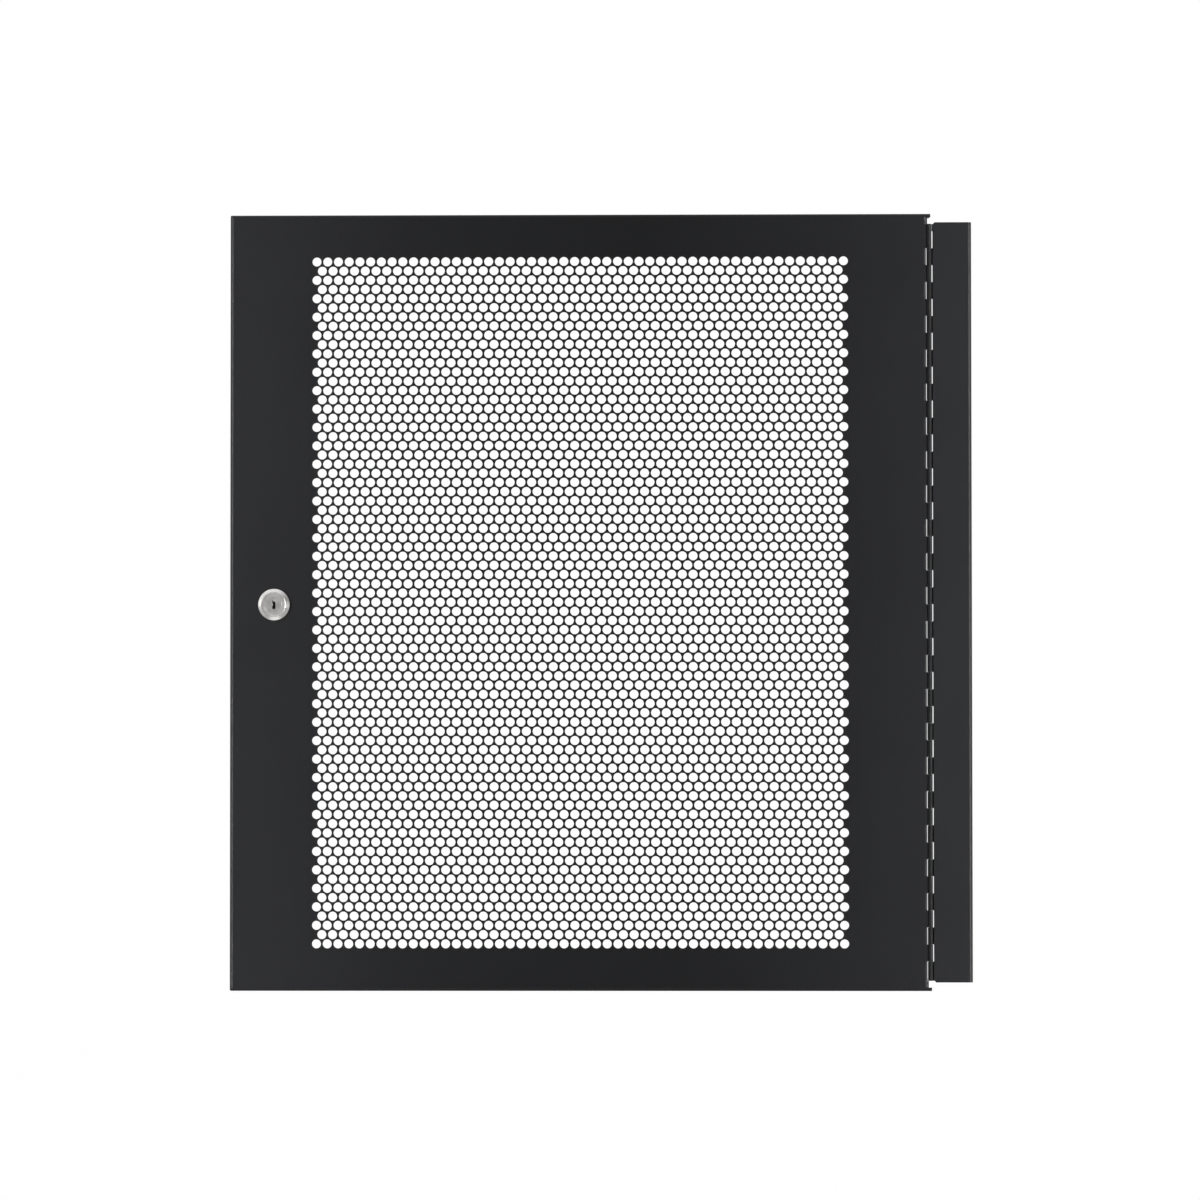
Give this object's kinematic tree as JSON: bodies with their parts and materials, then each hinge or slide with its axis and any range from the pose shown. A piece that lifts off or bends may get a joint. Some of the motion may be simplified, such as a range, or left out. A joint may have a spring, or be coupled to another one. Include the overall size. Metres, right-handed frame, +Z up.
{
  "type": "perforated rack door",
  "caption": "Vented steel rack door with folded rims, a staggered field of round punched holes, a continuous hinge on a mounting flange and a keyed cam lock.",
  "frame": {"origin": "middle of the bolt line, on the outer face of the mounting flange's side leg", "axes": "+X from the closing edge to the hinge and out of the flange's side leg, +Y from the front to the rear, +Z up along the hinge"},
  "size_m": [0.5213, 0.0328, 0.5456],
  "materials": {
    "black_powder_coat": "satin black powder coat",
    "black_hinge": "satin black powder coat over the assembled hinge",
    "nickel_plate": "bright nickel plate on die-cast zinc",
    "zinc_plate": "bright zinc plate",
    "wafer_brass": "plain stamped brass"
  },
  "bodies": {
    "flange": {"mounting_flange": "black_powder_coat", "hinge_leaf_frame": "black_hinge", "hinge_pin": "black_hinge"},
    "door": {"door_panel": "black_powder_coat", "hinge_leaf_door": "black_hinge", "lock_housing": "nickel_plate", "lock_tooth_washer": "zinc_plate", "lock_nut": "zinc_plate"},
    "lock_core": {"lock_plug": "nickel_plate", "lock_wafer_1": "wafer_brass", "lock_wafer_2": "wafer_brass", "lock_wafer_3": "wafer_brass", "lock_wafer_4": "wafer_brass", "stop_plate": "zinc_plate", "lock_cam": "zinc_plate", "cam_star_washer": "zinc_plate", "cam_screw": "zinc_plate"}
  },
  "joints": [
    {"name": "door_swing", "type": "hinge", "parent": "flange", "child": "door", "pos_m": [-0.02969, -0.0145, 0], "axis": [0, 0, 1], "range_deg": [0, 150]},
    {"name": "lock_turn", "type": "hinge", "parent": "door", "child": "lock_core", "pos_m": [-0.49019, 0, -0.0016], "axis": [0, 1, 0], "range_deg": [0, 90]}
  ]
}
